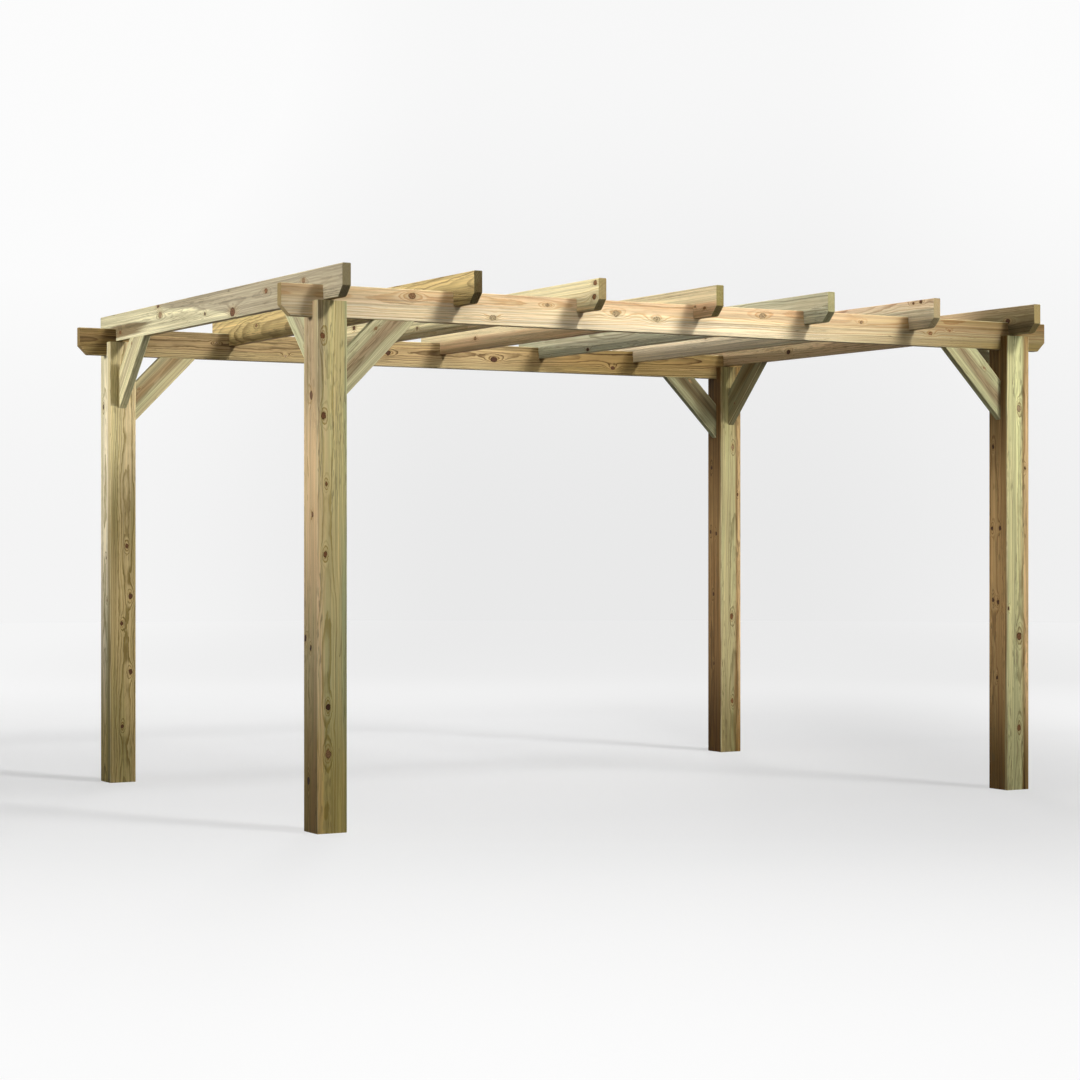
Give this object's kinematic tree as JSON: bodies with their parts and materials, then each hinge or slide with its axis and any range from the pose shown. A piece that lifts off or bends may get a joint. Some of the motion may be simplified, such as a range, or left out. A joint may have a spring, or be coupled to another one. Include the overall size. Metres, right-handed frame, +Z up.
{
  "type": "wooden pergola",
  "caption": "Rectangular open timber pergola: square posts slotted for deep beams, lapped rafters with cut tails, and knee braces both ways.",
  "frame": {"origin": "middle of the plan at ground level, between the four posts' feet", "axes": "+X along the beams towards the right-hand posts, +Y along the rafters towards the back, +Z up"},
  "size_m": [4.2, 3, 2.42],
  "materials": {
    "post_timber": "planed pressure-treated softwood, greenish, with bold grain and knots",
    "beam_timber": "planed pressure-treated softwood, pale peach to golden brown",
    "rafter_timber": "planed pressure-treated softwood, each board its own tone from cream to olive",
    "brace_timber": "planed pressure-treated softwood, grey-green with a brown heart stripe"
  },
  "bodies": {
    "root": {"post_front_left": "post_timber", "post_front_right": "post_timber", "post_back_left": "post_timber", "post_back_right": "post_timber", "beam_front": "beam_timber", "beam_back": "beam_timber", "rafter_1": "rafter_timber", "rafter_2": "rafter_timber", "rafter_3": "rafter_timber", "rafter_4": "rafter_timber", "rafter_5": "rafter_timber", "rafter_6": "rafter_timber", "rafter_7": "rafter_timber", "beam_brace_front_left": "brace_timber", "beam_brace_front_right": "brace_timber", "beam_brace_back_left": "brace_timber", "beam_brace_back_right": "brace_timber", "rafter_brace_front_left": "brace_timber", "rafter_brace_front_right": "brace_timber", "rafter_brace_back_left": "brace_timber", "rafter_brace_back_right": "brace_timber"}
  },
  "joints": []
}
